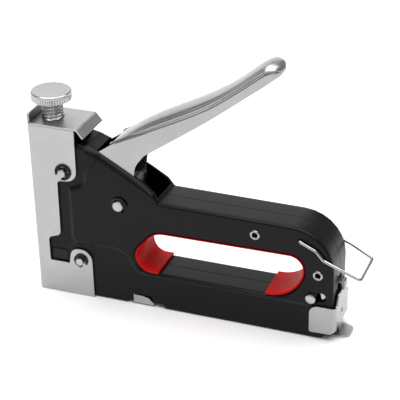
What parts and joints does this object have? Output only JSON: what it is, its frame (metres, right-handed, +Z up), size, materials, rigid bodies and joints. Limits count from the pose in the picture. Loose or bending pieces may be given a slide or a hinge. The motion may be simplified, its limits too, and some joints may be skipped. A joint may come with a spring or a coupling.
{
  "type": "hand lever staple gun",
  "caption": "Hand-lever staple gun: raised squeeze handle, folded bright nose cover, knurled power screw, hand slot with red liner, pull-out magazine and swinging wire handle lock.",
  "frame": {"origin": "on the work surface under the tool, half way along it, on its centre plane", "axes": "+X from the nose to the rear, +Y to the tool's right side, +Z up towards the power knob"},
  "size_m": [0.1874, 0.0302, 0.1506],
  "materials": {
    "shell_enamel": "satin black enamel",
    "nickel_plate": "satin bright plating",
    "knob_plate": "bright plating",
    "zinc_plate": "bright zinc",
    "dark_steel": "black oxide",
    "tool_steel": "ground",
    "spring_steel": "drawn wire",
    "red_grip": "semi gloss",
    "bumper_rubber": "matt"
  },
  "bodies": {
    "body": {"left_shell": "shell_enamel", "right_shell": "shell_enamel", "nose_cover": "nickel_plate", "top_plate": "nickel_plate", "power_nut": "zinc_plate", "upper_pin": "zinc_plate", "lower_pin": "zinc_plate", "pivot_pin": "zinc_plate", "pin_clips": "dark_steel", "pivot_clips": "dark_steel", "tubular_rivets": "zinc_plate", "rivet_spacers": "zinc_plate", "nose_guide": "tool_steel", "bumper": "bumper_rubber", "magazine_channel": "nickel_plate", "grip_insert": "red_grip", "main_spring": "spring_steel", "return_spring": "spring_steel", "catch_spring": "spring_steel"},
    "handle_lever": {"handle": "nickel_plate", "lifter": "tool_steel", "lifter_pin": "zinc_plate", "pivot_spacer": "zinc_plate"},
    "striker": {"hammer": "tool_steel", "driver_blade": "tool_steel"},
    "seat_body": {"spring_seat": "zinc_plate"},
    "screw_body": {"power_knob": "knob_plate"},
    "magazine": {"magazine_rail": "nickel_plate", "pusher_rod": "tool_steel", "rear_cap": "nickel_plate", "pusher_spring": "spring_steel"},
    "pusher_body": {"pusher": "zinc_plate"},
    "catch_body": {"catch": "zinc_plate", "catch_pin": "zinc_plate"},
    "bail": {"wire_bail": "zinc_plate"}
  },
  "joints": [
    {"name": "handle_press", "type": "hinge", "parent": "body", "child": "handle_lever", "pos_m": [-0.04072, 0, 0.0612], "axis": [0, 1, 0], "range_deg": [0, 36], "stiffness_Nm_per_rad": 0.15, "springref_deg": -28.65},
    {"name": "hammer_lift", "type": "slide", "parent": "body", "child": "striker", "axis": [0, 0, 1], "range_m": [0, 0.0176], "deforming": ["main_spring"]},
    {"name": "power_adjust", "type": "slide", "parent": "body", "child": "seat_body", "axis": [0, 0, 1], "range_m": [-0.0044, 0.002], "deforming": ["main_spring"]},
    {"name": "knob_turn", "type": "hinge", "parent": "seat_body", "child": "screw_body", "pos_m": [-0.08267, 0, 0.114], "axis": [0, 0, 1], "range_deg": [-900, 405]},
    {"name": "magazine_pull", "type": "slide", "parent": "body", "child": "magazine", "axis": [1, 0, 0], "range_m": [0, 0.105]},
    {"name": "pusher_slide", "type": "slide", "parent": "magazine", "child": "pusher_body", "axis": [1, 0, 0], "range_m": [0, 0.105], "stiffness_N_per_m": 12, "springref_m": -0.2, "deforming": ["pusher_spring"]},
    {"name": "catch_slide", "type": "slide", "parent": "body", "child": "catch_body", "axis": [0.9659, 0, 0.2588], "range_m": [0, 0.003], "stiffness_N_per_m": 150, "springref_m": -0.01, "deforming": ["catch_spring"]},
    {"name": "bail_swing", "type": "hinge", "parent": "body", "child": "bail", "pos_m": [0.06038, 0, 0.0581], "axis": [0, 1, 0], "range_deg": [-143, 10]}
  ],
  "couplings": [
    {"joint": "hammer_lift", "follows": "handle_press", "m_per_rad": 0.027965},
    {"joint": "power_adjust", "follows": "knob_turn", "m_per_rad": 0.00027852}
  ]
}
